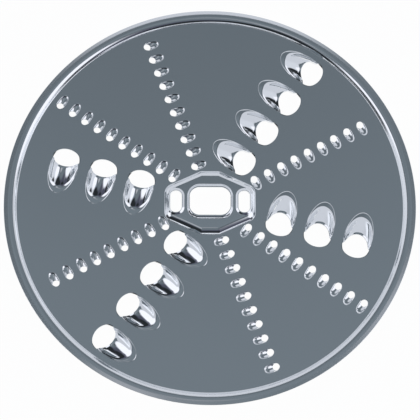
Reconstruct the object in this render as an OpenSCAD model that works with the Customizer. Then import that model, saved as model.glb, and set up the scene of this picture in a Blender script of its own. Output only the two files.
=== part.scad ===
// Reversible shredding disc, cut and stamped from one sheet of stainless steel.
// Coarse hooded teeth stand up on the top face, fine hooded teeth hang below.
// Origin: on the spin axis, in the plane of the flat top face. +Z is the coarse side.

/* [Disc] */
// Outside diameter over the rim
disc_d = 123; // [121:0.5:128]
// Thickness of the sheet
sheet_t = 0.6; // [0.5:0.05:0.7]

/* [Rim] */
// Width of the rim, from the end of the flat field to the edge
rim_w = 3.7; // [3.5:0.1:4.2]
// Height of the flange round the edge above the flat field
flange_h = 1.2; // [1:0.1:1.5]
// Plan width of the sloping step up to the flange
step_run = 1.3; // [1.2:0.05:1.6]
// Angle by which the flange droops towards its edge
flange_droop = 7; // [4:1:9]

/* [Coarse teeth] */
// Outside radius of the rounded hood
hood_r = 4; // [3.8:0.05:4.1]
// Angle at which a hood sinks into the sheet
hood_tilt = 19; // [18:0.5:20]
// Length of a hood from the middle of its mouth to its closed end
hood_l = 10.8; // [10.2:0.1:11]
// Distance from the end of the flat field to the middle of the outermost hood
hood_gap = 6.3; // [6:0.1:6.6]
// Width of the mouth hole along the row
mouth_w = 8.2; // [8.2:0.05:8.5]
// Length of the mouth hole across the row
mouth_l = 6.3; // [6:0.1:6.6]

/* [Fine teeth] */
// Inside radius of a fine tooth
nib_r = 1.15; // [1.05:0.05:1.2]
// Length of a fine tooth from the middle of its hole to its closed end
nib_l = 3.4; // [3.2:0.1:3.6]
// Distance from the end of the flat field to the outermost tooth of a cross row
nib_gap = 4.4; // [4.2:0.1:4.6]

/* [Drive boss] */
// Length of the boss between its two short sides
boss_l = 27.2; // [27:0.1:28]
// Width of the boss between its two flats
boss_w = 19.8; // [19.5:0.1:20]
// Height of the boss above the field
boss_h = 1.2; // [1:0.1:1.4]
// Length of the drive hole
drive_l = 12.2; // [11.8:0.1:12.4]
// Width of the drive hole
drive_w = 8.6; // [8.2:0.1:8.8]
// Height of the turned-up collar above the boss
collar_h = 0.6; // [0.4:0.1:0.8]

/* [Hidden] */
steel = "#B9BEC4";
$fn = 48;

// Distance by which a cutter passes the face it opens
past = 0.4;
// Half the height of a cutter that goes right through the disc
through = 6;

// Rim: the bends along the middle of the sheet, and the width that droops
field_r = disc_d / 2 - rim_w;
bend_r = 0.6;
bend_steps = 4;
droop_w = 1.3;
step_angle = atan(flange_h / step_run);

// Coarse rows: [direction of the row, radius of the innermost hood, number of hoods]
long_start = 16.1;
long_count = 4;
short_start = 21.65;
short_count = 3;
hood_pitch = (field_r - hood_gap - long_start) / (long_count - 1);
coarse_rows = [
    [54.2, long_start, long_count],
    [234.2, long_start, long_count],
    [-16.3, short_start, short_count],
    [163.7, short_start, short_count]
];
// The middle of a hood's mouth, and where its axis meets the top face, measured across the row
mouth_mid = -0.92;
hood_foot = -1.1;
mouth_corners = 28;
// Room beside a tooth inside the block that trims it
trim = 1;

// Fine rows: [direction of the row, radius of the outermost tooth, number of teeth]
cross_start = 12.27;
cross_count = 10;
cross_end = field_r - nib_gap;
nib_pitch = (cross_end - cross_start) / (cross_count - 1);
side_shift = 1.37;
side_end = cross_end + side_shift;
swept_shift = 1.65;
swept_end = cross_end - swept_shift;
swept_count = 9;
fine_rows = [
    [110.84, cross_end, cross_count],
    [290.84, cross_end, cross_count],
    [145.71, side_end, cross_count],
    [325.71, side_end, cross_count],
    [208.51, swept_end, swept_count],
    [28.51, swept_end, swept_count]
];
// The middle of a fine tooth's hole, its axis's foot and its side walls, measured across the row
nib_hole_mid = -0.25;
nib_foot = 0;
nib_wall_start = 0.35;
nib_wall = 0.5;
nib_tilt = 20;
nib_hole_r = nib_r + 0.01;

// Boss outline: the four short-side corners are round, the four on the flats are crisp
boss_flat = 5.6;
boss_slant = 65;
boss_corner_r = 3;
boss_run = 1.7;
collar_l = 14;
collar_w = 11.5;
collar_corner_r = 4;
drive_corner_r = 3;
collar_land = 0.15;
slot_x = 10.2;
slot_l = 6.8;
slot_w = 3.6;
slot_corner_r = 1.7;
lip_run = 0.7;
lip_h = 0.4;
corner_steps = 4;
same_angle = 0.01;

// Rim: the sheet's middle line as [radius, height, heading], one bend after the other
function bend(start, turn, r) = [
    for (i = [1:bend_steps])
        let (a = start[2] + turn * i / bend_steps, side = sign(turn))
            [start[0] - side * r * (sin(start[2]) - sin(a)),
             start[1] + side * r * (cos(start[2]) - cos(a)), a]
];
function last(list) = list[len(list) - 1];
function onward(start, run) =
    [start[0] + run * cos(start[2]), start[1] + run * sin(start[2]), start[2]];
bend_rise = bend_r * (1 - cos(step_angle));
slope_run = (flange_h - 2 * bend_rise) / sin(step_angle);
rim_start = [field_r - bend_r * tan(step_angle / 2), -sheet_t / 2, 0];
rim_up = bend(rim_start, step_angle, bend_r);
rim_slope = onward(last(rim_up), slope_run);
rim_crest = bend(rim_slope, -step_angle, bend_r);
edge_r = disc_d / 2 - sheet_t / 2 * sin(flange_droop);
droop_start = [edge_r - droop_w, last(rim_crest)[1], 0];
droop = bend(droop_start, -flange_droop, droop_w / sin(flange_droop));
rim_line = concat([rim_start], rim_up, [rim_slope], rim_crest, [droop_start], droop);
// The two faces of the sheet lie half a thickness either side of the middle line
function face(line, side) = [
    for (p = line) [p[0] - side * sheet_t / 2 * sin(p[2]), p[1] + side * sheet_t / 2 * cos(p[2])]
];
function reversed(list) = [for (i = [len(list) - 1:-1:0]) list[i]];

// Outlines as straight edges [direction of the edge's normal, its distance from the middle]
function round_corner(centre, r, from, to) = [
    for (i = [0:corner_steps])
        let (a = from + (to - from) * i / corner_steps)
            [a, centre[0] * cos(a) + centre[1] * sin(a) + r]
];
// The same edges in all four quarters: every second quarter is the mirror of the one before
function four_ways(quarter) = [
    for (q = [0:3]) each
        q % 2 == 0
            ? [for (e = quarter) [90 * q + e[0], e[1]]]
            : [for (e = reversed(quarter)) [90 * (q + 1) - e[0], e[1]]]
];
// Leaves out an edge that has the same direction as the next one
function distinct(edges) = [
    for (i = [0:len(edges) - 1])
        let (next = edges[(i + 1) % len(edges)][0] + (i == len(edges) - 1 ? 360 : 0))
            if (next - edges[i][0] > same_angle) edges[i]
];
// Corner where two edges cross
function meet(a, b) = let (s = sin(b[0] - a[0]))
    [(a[1] * sin(b[0]) - b[1] * sin(a[0])) / s, (b[1] * cos(a[0]) - a[1] * cos(b[0])) / s];
function outline(edges, inset) = [
    for (i = [0:len(edges) - 1])
        let (a = edges[i], b = edges[(i + 1) % len(edges)])
            meet([a[0], a[1] - inset], [b[0], b[1] - inset])
];
function oblong(l, w, r) =
    distinct(four_ways(round_corner([l / 2 - r, w / 2 - r], r, 0, 90)));

slant_reach = boss_flat / 2 * cos(boss_slant) + boss_w / 2 * sin(boss_slant);
corner_x = boss_l / 2 - boss_corner_r;
corner_y = (slant_reach - boss_corner_r - corner_x * cos(boss_slant)) / sin(boss_slant);
boss_edges = distinct(four_ways(concat(
    round_corner([corner_x, corner_y], boss_corner_r, 0, boss_slant), [[90, boss_w / 2]])));
collar_edges = oblong(collar_l, collar_w, collar_corner_r);
collar_run = (collar_w - drive_w) / 2 - collar_land;
lip_edges = oblong(slot_w + 2 * lip_run, slot_l + 2 * lip_run, slot_corner_r + lip_run);

// Solid between one outline and the same outline inset and raised
module sloped(edges, inset_low, z_low, inset_high, z_high) {
    n = len(edges);
    low = [for (p = outline(edges, inset_low)) [p[0], p[1], z_low]];
    high = [for (p = outline(edges, inset_high)) [p[0], p[1], z_high]];
    sides = [for (i = [0:n - 1]) [i, i + n, (i + 1) % n + n, (i + 1) % n]];
    polyhedron(concat(low, high),
        concat([[for (i = [0:n - 1]) i]], sides, [[for (i = [n - 1:-1:0]) i + n]]));
}

// Outer face of a pressing that rises from height z, rooted inside the sheet
module pressing(edges, run, h, z) {
    sloped(edges, -sheet_t / 2 * run / h, z - sheet_t / 2, run, z + h);
}

// Hollow under a pressing, one sheet thickness inside it
module hollow(edges, run, h, z) {
    shift = sheet_t * tan(atan(h / run) / 2);
    sloped(edges, shift - past * run / h, z - sheet_t - past, run + shift, z + h - sheet_t);
}

// Turns the children to the place of one tooth: x along the row, y across it
module at_tooth(direction, radius) {
    rotate([0, 0, direction]) translate([radius, 0, 0]) children();
}

module at_hoods() {
    for (row = coarse_rows, i = [0:row[2] - 1])
        at_tooth(row[0], row[1] + i * hood_pitch) children();
}

module at_nibs() {
    for (row = fine_rows, i = [0:row[2] - 1])
        at_tooth(row[0], row[1] - i * nib_pitch) children();
}

// Run from a sinking bar's foot to the middle of its round nose, so that a nose of
// radius r leaves the face at distance reach: run + sqrt(r^2 - (run * tan(tilt))^2) = reach
function nose_run(r, tilt, reach) =
    let (k = 1 + tan(tilt) * tan(tilt), room = k * r * r - (k - 1) * reach * reach)
        (reach - sqrt(max(0, room))) / k;

// Round-nosed bar that starts over its foot and sinks through the sheet towards +y
module sinking_bar(r, tilt, run) {
    straight = run / cos(tilt);
    rotate([-90 - tilt, 0, 0]) {
        translate([0, 0, -r]) cylinder(h = straight + r, r = r);
        translate([0, 0, straight]) sphere(r);
    }
}

// Block that trims a tooth: its width, where it starts along y, and its two heights
module trim_block(r, start, length, low, high) {
    translate([-r - trim, start, low]) cube([2 * (r + trim), length, high - low]);
}

hood_run = nose_run(hood_r, hood_tilt, hood_l + mouth_mid - hood_foot);
module hood_bar(r) {
    translate([0, hood_foot, 0]) sinking_bar(r, hood_tilt, hood_run);
}

module hood_outside() {
    intersection() {
        hood_bar(hood_r);
        trim_block(hood_r, mouth_mid, hood_l + trim, -sheet_t / 2, through);
    }
}

module hood_inside() {
    intersection() {
        hood_bar(hood_r - sheet_t);
        trim_block(hood_r, mouth_mid, hood_l + trim, -sheet_t - past, through);
    }
}

// Oval hole punched down through the front of a hood
module mouth() {
    translate([0, mouth_mid, 0]) linear_extrude(2 * through, center = true)
        polygon([for (i = [0:mouth_corners - 1]) let (a = 360 * i / mouth_corners)
            [mouth_w / 2 * cos(a), mouth_l / 2 * sin(a)]]);
}

// Fine tooth: the same form, small, turned over and facing the other way
nib_run = nose_run(nib_r, nib_tilt, nib_l + nib_hole_mid - nib_foot);
module turned_over() {
    rotate([180, 0, 0]) children();
}

module nib_bar(r) {
    translate([0, nib_foot, 0]) sinking_bar(r, nib_tilt, nib_run);
}

module nib_outside() {
    turned_over() intersection() {
        nib_bar(nib_r + nib_wall);
        trim_block(nib_r + nib_wall, nib_wall_start, nib_l + trim, sheet_t / 2, through);
    }
}

module nib_inside() {
    turned_over() intersection() {
        nib_bar(nib_r);
        trim_block(nib_r, nib_hole_mid, nib_l + trim, -past, through);
    }
}

module nib_hole() {
    turned_over() translate([0, nib_hole_mid, -past]) cylinder(h = through, r = nib_hole_r);
}

// Flat field, step and flange in one turned profile
module plate() {
    rotate_extrude($fn = 180) polygon(concat([[0, -sheet_t], [0, 0]],
        face(rim_line, 1), reversed(face(rim_line, -1))));
}

module boss_outside() {
    pressing(boss_edges, boss_run, boss_h, 0);
    pressing(collar_edges, collar_run, collar_h, boss_h);
    for (x = [-slot_x, slot_x])
        translate([x, 0, 0]) pressing(lip_edges, lip_run, lip_h, boss_h);
}

module boss_inside() {
    hollow(boss_edges, boss_run, boss_h, 0);
    hollow(collar_edges, collar_run, collar_h, boss_h);
    for (x = [-slot_x, slot_x])
        translate([x, 0, 0]) hollow(lip_edges, lip_run, lip_h, boss_h);
}

// Rectangle with rounded corners, cut through the boss
module rounded_hole(l, w, r) {
    linear_extrude(2 * through, center = true) {
        square([l - 2 * r, w], center = true);
        square([l, w - 2 * r], center = true);
        for (x = [-1, 1], y = [-1, 1])
            translate([x * (l / 2 - r), y * (w / 2 - r)]) circle(r);
    }
}

module shredding_disc() {
    color(steel) difference() {
        union() {
            plate();
            boss_outside();
            at_hoods() hood_outside();
            at_nibs() nib_outside();
        }
        boss_inside();
        rounded_hole(drive_l, drive_w, drive_corner_r);
        for (x = [-slot_x, slot_x])
            translate([x, 0, 0]) rounded_hole(slot_w, slot_l, slot_corner_r);
        at_hoods() {
            hood_inside();
            mouth();
        }
        at_nibs() {
            nib_inside();
            nib_hole();
        }
    }
}

shredding_disc();
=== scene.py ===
"""Looks and studio for a reversible shredding disc, cut and stamped from one stainless sheet.

The disc is one piece of sheet, so it is one mesh. Its surface is put together from patches
that share their border points: two kinds of hooded tooth, the drive boss, the stepped rim
and the flat field between them. Every patch is worked out in millimetres, in the frame of
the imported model: origin on the spin axis in the plane of the flat top face, +Z on the side
of the coarse hoods.
"""

from __future__ import annotations

import logging
import math
from dataclasses import astuple, dataclass, field
from enum import Enum
from typing import Callable, Sequence

import bpy
import numpy as np
from mathutils import Matrix, Vector
from mathutils.geometry import delaunay_2d_cdt

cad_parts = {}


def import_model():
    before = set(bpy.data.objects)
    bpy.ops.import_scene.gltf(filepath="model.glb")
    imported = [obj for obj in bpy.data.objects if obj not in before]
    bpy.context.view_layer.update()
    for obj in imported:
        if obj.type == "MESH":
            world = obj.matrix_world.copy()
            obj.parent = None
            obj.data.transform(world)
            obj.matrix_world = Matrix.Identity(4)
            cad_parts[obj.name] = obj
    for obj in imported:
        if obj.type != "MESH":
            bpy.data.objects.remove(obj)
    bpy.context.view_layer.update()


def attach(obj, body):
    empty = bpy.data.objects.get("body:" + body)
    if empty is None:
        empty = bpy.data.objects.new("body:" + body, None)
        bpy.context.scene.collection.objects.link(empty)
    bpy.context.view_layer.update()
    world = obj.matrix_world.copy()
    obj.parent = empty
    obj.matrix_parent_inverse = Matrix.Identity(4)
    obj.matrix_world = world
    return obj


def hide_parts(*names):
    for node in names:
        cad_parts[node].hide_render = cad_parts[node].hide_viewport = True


LOG = logging.getLogger("shredding_disc")
MM = 0.001
NODE = "shredding_disc"
BODY = "root"

Array = np.ndarray
Solid = Callable[[Array, Array, Array], Array]

UP = np.array([0.0, 0.0, 1.0])
QUARTER = np.pi / 2
TINY = 1e-12
# How near points are taken as one when a plane is covered
SAME_POINT = 1e-5
# Sockets that share their names in a Mix node, so they go by number
FACTOR, FLOAT_A, FLOAT_B, COLOUR_A, COLOUR_B = 0, 2, 3, 6, 7
COLOUR_OUT = 2
WHITE_LIGHT = (1.0, 1.0, 1.0, 1.0)


def unit(vectors: Array) -> Array:
    """Scales vectors in the last axis to length 1."""
    return vectors / np.maximum(np.linalg.norm(vectors, axis=-1, keepdims=True), TINY)


def full_turn(count: int) -> Array:
    """Evenly spaced angles once round, without the repeated last one."""
    return np.linspace(0.0, 2 * np.pi, count, endpoint=False)


def smoothstep(share: Array) -> Array:
    """Eases a share from 0 to 1: three times its square less twice its cube."""
    return share**2 * (3 - 2 * share)


def rounded_union(a: Array, b: Array, radius: float) -> Array:
    """Joins two signed distances with a concave fillet.

    Formula: the larger of the radius and the nearer distance, less the length of the two
    shortfalls (radius - a, radius - b), each not below zero.

    Args:
        a: Signed distance to the first solid, negative inside.
        b: Signed distance to the second solid.
        radius: Fillet radius.

    Returns:
        Signed distance to the joined solid.
    """
    short_a, short_b = np.maximum(radius - a, 0.0), np.maximum(radius - b, 0.0)
    return np.maximum(radius, np.minimum(a, b)) - np.hypot(short_a, short_b)


def close_in(low: Array, high: Array, is_low: Callable[[Array], Array],
             halvings: int) -> tuple[Array, Array]:
    """Closes in by halving on where a condition ends, for each point on its own.

    Args:
        low: Values at which it holds.
        high: Values at which it doesn't.
        is_low: Says for each value whether it still holds.
        halvings: How often the way between them is halved.

    Returns:
        The last values at which it holds, and the first at which it doesn't.
    """
    for _ in range(halvings):
        middle = (low + high) / 2
        holds = is_low(middle)
        low, high = np.where(holds, middle, low), np.where(holds, high, middle)
    return low, high


def gradient_normal(solid: Solid, points: Array, step: float = 1e-3) -> Array:
    """Outward normals of a solid from central differences of its signed distance.

    Args:
        solid: Signed distance, negative inside.
        points: Points on the face, xyz in the last axis.
        step: Distance used for the differences.

    Returns:
        Unit normals, shaped as the points.
    """
    x, y, z = points[..., 0], points[..., 1], points[..., 2]
    return unit(np.stack([
        solid(x + step, y, z) - solid(x - step, y, z),
        solid(x, y + step, z) - solid(x, y - step, z),
        solid(x, y, z + step) - solid(x, y, z - step),
    ], axis=-1))


def along_rows(metric: Array, shares: Array) -> Array:
    """For each row, finds the position at which a share of its summed metric is reached.

    Formula: the rows' running sums, each brought to 1 and lifted clear of the row before, are
    one rising curve, which is read backwards.

    Args:
        metric: Rows of non-negative steps, (rows, steps).
        shares: Wanted shares from 0 to 1.

    Returns:
        Positions from 0 to 1 along each row, (rows, shares).
    """
    rows, steps = metric.shape
    total = np.concatenate([np.zeros((rows, 1)), np.cumsum(metric, axis=1)], axis=1)
    total = total / total[:, -1:]
    lift = 2.0 * np.arange(rows)[:, None]
    where = np.broadcast_to(np.linspace(0.0, 1.0, steps + 1), total.shape)
    wanted = np.broadcast_to(shares, (rows, shares.size)) + lift
    return np.interp(wanted.ravel(), (total + lift).ravel(), where.ravel()).reshape(rows, -1)


def even_loop(points: Array, count: int) -> Array:
    """Spreads points evenly by length round a closed loop, starting at its first point.

    Args:
        points: Closed loop without a repeated last point, (n, 2).
        count: Number of points wanted.

    Returns:
        The new points, (count, 2).
    """
    closed = np.vstack([points, points[:1]])
    sides = np.linalg.norm(np.diff(closed, axis=0), axis=1)
    length = np.concatenate([[0.0], np.cumsum(sides)])
    wanted = np.arange(count) / count * length[-1]
    return np.stack([np.interp(wanted, length, closed[:, k]) for k in range(2)], axis=-1)


def loop_inward(loop: Array) -> Array:
    """Level unit vectors that point into an anticlockwise loop, one at each point."""
    tangent = unit(np.roll(loop, -1, axis=0) - np.roll(loop, 1, axis=0))
    return np.stack([-tangent[:, 1], tangent[:, 0], np.zeros(len(loop))], axis=-1)


def inside_loop(points: Array, loop: Array) -> Array:
    """Says which points lie inside a closed loop, by counting crossings of a ray along x.

    Args:
        points: Points, (n, 2).
        loop: Corners of the loop, (m, 2).

    Returns:
        True for each point inside.
    """
    px, py = points[:, :1], points[:, 1:]
    (ax, ay), (bx, by) = loop.T, np.roll(loop, -1, axis=0).T
    spans = (ay > py) != (by > py)
    rise = np.where(by == ay, 1.0, by - ay)
    crossing = ax + (py - ay) / rise * (bx - ax)
    return (spans & (px < crossing)).sum(axis=1) % 2 == 1


def fill_between(border: Array, holes: Sequence[Array], loose: Array) -> Array:
    """Covers the plane between a border and its holes with Delaunay triangles.

    Args:
        border: Outer loop, (n, 2), convex.
        holes: Inner loops, each (m, 2).
        loose: Free points between them, (k, 2).

    Returns:
        Anticlockwise triangles as rows of numbers into border, holes and loose in that order.
    """
    loops = [border, *holes]
    ends = np.cumsum([0] + [len(loop) for loop in loops])
    edges = np.vstack([
        np.stack([np.arange(a, b), np.append(np.arange(a + 1, b), a)], axis=-1)
        for a, b in zip(ends[:-1], ends[1:])
    ])
    points = np.vstack([*loops, loose])
    corners = [Vector(p) for p in points.tolist()]
    found = delaunay_2d_cdt(corners, edges.tolist(), [], 0, SAME_POINT)
    source = np.array([ids[0] for ids in found[3]])
    triangles = source[np.array(found[2])]
    middle = points[triangles].mean(axis=1)
    keep = np.ones(len(triangles), bool)
    for a, b, loop in zip(ends[1:-1], ends[2:], loops[1:]):
        own = ((triangles >= a) & (triangles < b)).all(axis=1)
        keep[own] &= ~inside_loop(middle[own], loop)
    return triangles[keep]


def add_object(name: str, data: bpy.types.ID) -> bpy.types.Object:
    """Makes an object of a mesh or a camera, at the origin, and links it to the scene."""
    made = bpy.data.objects.new(name, data)
    bpy.context.scene.collection.objects.link(made)
    return made


@dataclass(frozen=True)
class BentRamp:
    """A ramp between two levels of sheet, whose two bends are round arcs.

    Attributes:
        run: Plan length of the ramp.
        rise: Height of the ramp.
        foot_r: Radius of the hollow bend at the foot, on the top face.
        crest_r: Radius of the round bend at the crest, on the top face.
    """

    run: float
    rise: float
    foot_r: float
    crest_r: float

    def angle(self) -> float:
        """Angle of the ramp, in radians."""
        return math.atan2(self.rise, self.run)

    def height(self, s: Array) -> Array:
        """Height of the top face over the distance up the ramp from its foot corner.

        Formula: level, then straight at the ramp's angle, then level; at each bend the two
        straights are replaced by the arc that touches both.
        """
        angle, foot, crest = self.angle(), self.foot_r, self.crest_r
        at_foot, at_crest = foot * math.tan(angle / 2), crest * math.tan(angle / 2)
        straight = np.clip(s, 0.0, self.run) * (self.rise / self.run)
        low_arc = foot - np.sqrt(np.maximum(foot**2 - (s + at_foot) ** 2, 0.0))
        past = np.maximum(crest**2 - (self.run + at_crest - s) ** 2, 0.0)
        high_arc = self.rise - crest + np.sqrt(past)
        on_foot = (s > -at_foot) & (s < at_foot * math.cos(angle))
        on_crest = (s > self.run - at_crest * math.cos(angle)) & (s < self.run + at_crest)
        return np.where(on_crest, high_arc, np.where(on_foot, low_arc, straight))


@dataclass(frozen=True)
class RoundedBox:
    """A rectangle with round corners about the origin, such as a punched hole.

    Attributes:
        length: Size along x.
        width: Size along y.
        radius: Corner radius.
    """

    length: float
    width: float
    radius: float

    # Points on each corner's arc before they are spread
    CORNER_POINTS = 24

    def grown(self, by: float) -> RoundedBox:
        """The same outline grown by a distance all round."""
        return RoundedBox(self.length + 2 * by, self.width + 2 * by, self.radius + by)

    def towards(self, other: RoundedBox, share: float) -> RoundedBox:
        """The outline that lies a share of the way from this one to another."""
        sizes = zip(astuple(self), astuple(other))
        return RoundedBox(*[mine + share * (theirs - mine) for mine, theirs in sizes])

    def distance(self, x: Array, y: Array) -> Array:
        """Signed distance to the outline, negative inside.

        Formula: fold into one quarter, measure to the smaller rectangle of the corner centres,
        and take off the corner radius.
        """
        qx = np.abs(x) - (self.length / 2 - self.radius)
        qy = np.abs(y) - (self.width / 2 - self.radius)
        outside = np.hypot(np.maximum(qx, 0.0), np.maximum(qy, 0.0))
        return outside + np.minimum(np.maximum(qx, qy), 0.0) - self.radius

    def loop(self, count: int) -> Array:
        """Anticlockwise points round the outline, (count, 2): four arcs, spread evenly."""
        turn = np.linspace(0.0, QUARTER, self.CORNER_POINTS)
        half_x, half_y = self.length / 2 - self.radius, self.width / 2 - self.radius
        corners = [
            np.stack([
                side_x * half_x + self.radius * np.cos(quarter * QUARTER + turn),
                side_y * half_y + self.radius * np.sin(quarter * QUARTER + turn),
            ], axis=-1)
            for quarter, (side_x, side_y) in enumerate(((1, 1), (-1, 1), (-1, -1), (1, -1)))
        ]
        return even_loop(np.vstack(corners), count)


@dataclass(frozen=True)
class SheetLoop:
    """A patch's border where it meets flat sheet: the same outline on both faces.

    Attributes:
        outline: Points in the plane, anticlockwise, (n, 2).
        top: Their point numbers on the top face.
        under: Their point numbers on the underside.
    """

    outline: Array
    top: Array
    under: Array


@dataclass
class SheetMesh:
    """Collects the points, normals, polish and faces of the whole sheet.

    Attributes:
        points: Arrays of points in millimetres.
        normals: Arrays of unit normals, one for each point.
        polish: Arrays that say how far the tools have burnished each point, 0 to 1.
        faces: Arrays of faces, triangles or quads, as rows of point numbers.
        count: Number of points so far.
    """

    points: list[Array] = field(default_factory=list)
    normals: list[Array] = field(default_factory=list)
    polish: list[Array] = field(default_factory=list)
    faces: list[Array] = field(default_factory=list)
    count: int = 0

    def add_points(self, points: Array, normals: Array, polish: Array | float) -> Array:
        """Adds points and gives their numbers.

        Args:
            points: Points with xyz in the last axis.
            normals: Normals, shaped as the points.
            polish: One value, or one for each point.

        Returns:
            Point numbers, shaped as the points without their last axis.
        """
        shape = points.shape[:-1]
        number = np.arange(self.count, self.count + int(np.prod(shape))).reshape(shape)
        self.points.append(points.reshape(-1, 3))
        self.normals.append(normals.reshape(-1, 3))
        self.polish.append(np.broadcast_to(polish, shape).reshape(-1))
        self.count += number.size
        return number

    def add_rings(self, rings: Array) -> None:
        """Adds the quads between closed rings of point numbers, (rings, around).

        The rings run anticlockwise as seen from the side that the faces look to, outermost first.
        """
        a, b = rings[:-1], rings[1:]
        quads = np.stack([a, np.roll(a, -1, axis=1), np.roll(b, -1, axis=1), b], axis=-1)
        self.faces.append(quads.reshape(-1, 4))

    def add_both_faces(self, upper: Array, lower: Array, triangles: Array) -> None:
        """Adds triangles on the top face, and the same ones turned over on the underside.

        Args:
            upper: Point numbers on the top face.
            lower: Numbers of the points below them.
            triangles: Rows of numbers into either, anticlockwise from above.
        """
        self.faces += [upper[triangles], lower[triangles[:, ::-1]]]

    def build(self, name: str) -> bpy.types.Object:
        """Makes the Blender object, in metres, with its own normals and polish attribute.

        Args:
            name: Name of the piece.

        Returns:
            The new object.
        """
        points = np.vstack(self.points) * MM
        normals = unit(np.vstack(self.normals))
        faces = [row for block in self.faces for row in block.tolist()]
        mesh = bpy.data.meshes.new(name)
        mesh.from_pydata(points.tolist(), [], faces)
        mesh.shade_smooth()
        mesh.normals_split_custom_set_from_vertices(normals.tolist())
        attribute = mesh.attributes.new("polish", "FLOAT", "POINT")
        attribute.data.foreach_set("value", np.concatenate(self.polish).astype(np.float32))
        return add_object(name, mesh)


@dataclass(frozen=True)
class PunchedEdge:
    """The cut edge of the sheet with its two corners broken.

    Attributes:
        radius: Radius of each broken corner, in millimetres.
        steps: Faces round each corner.
    """

    radius: float
    steps: int

    # Steepest slope along which a face is carried on, and the least upright part of a normal
    STEEPEST = 3.0
    LEAST_UPRIGHT = 0.2

    def upright(self, face: Array, normal: Array, inward: Array, drop: float) -> tuple:
        """Rounds one corner between a face and the upright wall of a punched hole.

        Formula: a second-degree curve from the face's end to the wall, with the sharp
        corner as its middle control point.

        Args:
            face: Ends of the face, (n, 3).
            normal: The face's normals there.
            inward: Level unit vectors that point into the hole.
            drop: -1 where the wall runs down from this corner, +1 where it runs up.

        Returns:
            Points and normals, each (steps, n, 3), from the face to the wall.
        """
        lift = normal[:, 2]
        lift = np.where(np.abs(lift) < self.LEAST_UPRIGHT, self.LEAST_UPRIGHT, lift)
        slope = np.clip(-(inward * normal).sum(-1) / lift, -self.STEEPEST, self.STEEPEST)
        corner = face + self.radius * (inward + slope[:, None] * UP)
        wall = corner + self.radius * drop * UP
        t = (np.arange(1, self.steps + 1) / self.steps)[:, None, None]
        points = (1 - t) ** 2 * face + 2 * t * (1 - t) * corner + t**2 * wall
        return points, unit((1 - t) * normal + t * inward)

    def square(self, top: Array, normal: Array, inward: Array, thickness: float) -> tuple:
        """Carries the edge's profile along a hole that is cut square to the sheet.

        Formula: a quarter circle off the top face, a straight, and a quarter circle onto
        the underside, in the plane of the sheet's normal and the way into the hole.

        Args:
            top: Ends of the top face, (n, 3).
            normal: The sheet's normals there.
            inward: Level unit vectors that point into the hole.
            thickness: Thickness of the sheet.

        Returns:
            Points and normals, each (2 * steps, n, 3), from the top face to the underside.
        """
        out = unit(inward - (inward * normal).sum(-1, keepdims=True) * normal)
        turn = np.linspace(0.0, QUARTER, self.steps + 1)[:, None, None]
        high = np.sin(turn) * out + np.cos(turn) * normal
        low = (np.sin(turn) * out - np.cos(turn) * normal)[::-1]
        high_points = top - self.radius * normal + self.radius * high
        low_points = top - (thickness - self.radius) * normal + self.radius * low
        points = np.concatenate([high_points[1:], low_points[:-1]])
        return points, np.concatenate([high[1:], low[:-1]])


@dataclass(frozen=True)
class PressedApron:
    """The shallow oval apron round a hood, with the witness mark that the die leaves round it.

    Attributes:
        middle_y: Middle of the oval along the hood.
        half_x: Half its width.
        half_y: Its length from there to the closed end.
        half_front: Its length from there to the mouth.
        slope: Rise of the apron from the oval inwards, per millimetre.
        mark_w: Width of the mark.
        mark_rise: Height of the mark round the closed end.
        side_rise: Height of the mark beside the mouth, where the die pressed it deeper.
        fade: Share of half_y over which the mark goes from the one height to the other.
    """

    middle_y: float
    half_x: float
    half_y: float
    half_front: float
    slope: float
    mark_w: float
    mark_rise: float
    side_rise: float
    fade: float = 0.5

    def inside(self, x: Array, y: Array) -> Array:
        """Distance in from the oval, negative outside.

        Formula: what the oval's own measure lacks to 1, over the length of its gradient.
        """
        length = np.where(y > self.middle_y, self.half_y, self.half_front)
        across, along = x / self.half_x, (y - self.middle_y) / length
        measure = np.hypot(across, along)
        gradient = np.hypot(across / self.half_x, along / length) / np.maximum(measure, TINY)
        return (1 - measure) / np.maximum(gradient, TINY)

    def height(self, x: Array, y: Array) -> Array:
        """Height of the apron: a smooth small step at the oval and an even slope inside it.

        Formula: the step is a smoothstep over the mark's width; its height goes from the sides'
        to the closed end's with another smoothstep along the hood.
        """
        inside = np.clip(self.inside(x, y), 0.0, self.half_x)
        back = np.clip((y - self.middle_y) / (self.fade * self.half_y), 0.0, 1.0)
        rise = self.side_rise + (self.mark_rise - self.side_rise) * smoothstep(back)
        return rise * smoothstep(np.minimum(inside / self.mark_w, 1.0)) + self.slope * inside


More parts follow.
